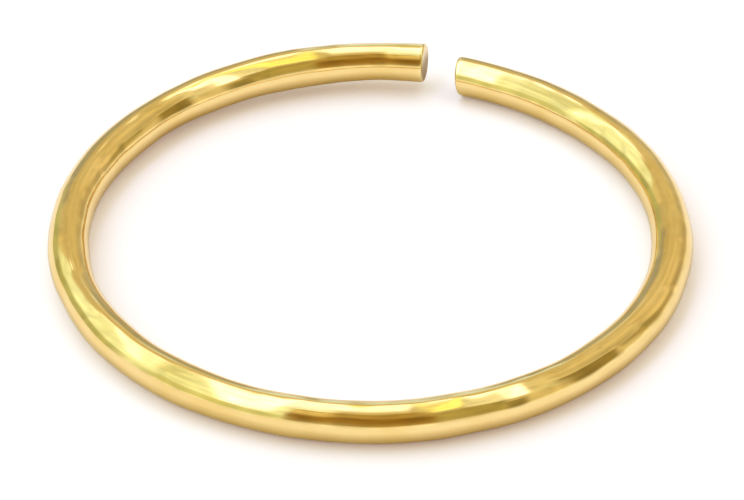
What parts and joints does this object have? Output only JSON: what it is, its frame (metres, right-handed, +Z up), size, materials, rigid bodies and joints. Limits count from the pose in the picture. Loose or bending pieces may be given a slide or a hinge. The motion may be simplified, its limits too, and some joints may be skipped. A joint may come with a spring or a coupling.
{
  "type": "nose ring",
  "caption": "Seamless nose ring: round gold-coloured wire bent into an open circle, its plain cut ends almost meeting.",
  "frame": {"origin": "centre of the ring, level with the surface that it lies on", "axes": "+Z up, out of the plane of the ring; +Y from the centre to the gap between the ends; +X to the right when +Y points away"},
  "size_m": [0.01, 0.01, 0.0008],
  "materials": {
    "gold": "polished"
  },
  "bodies": {
    "root": {"hoop": "gold"}
  },
  "joints": []
}
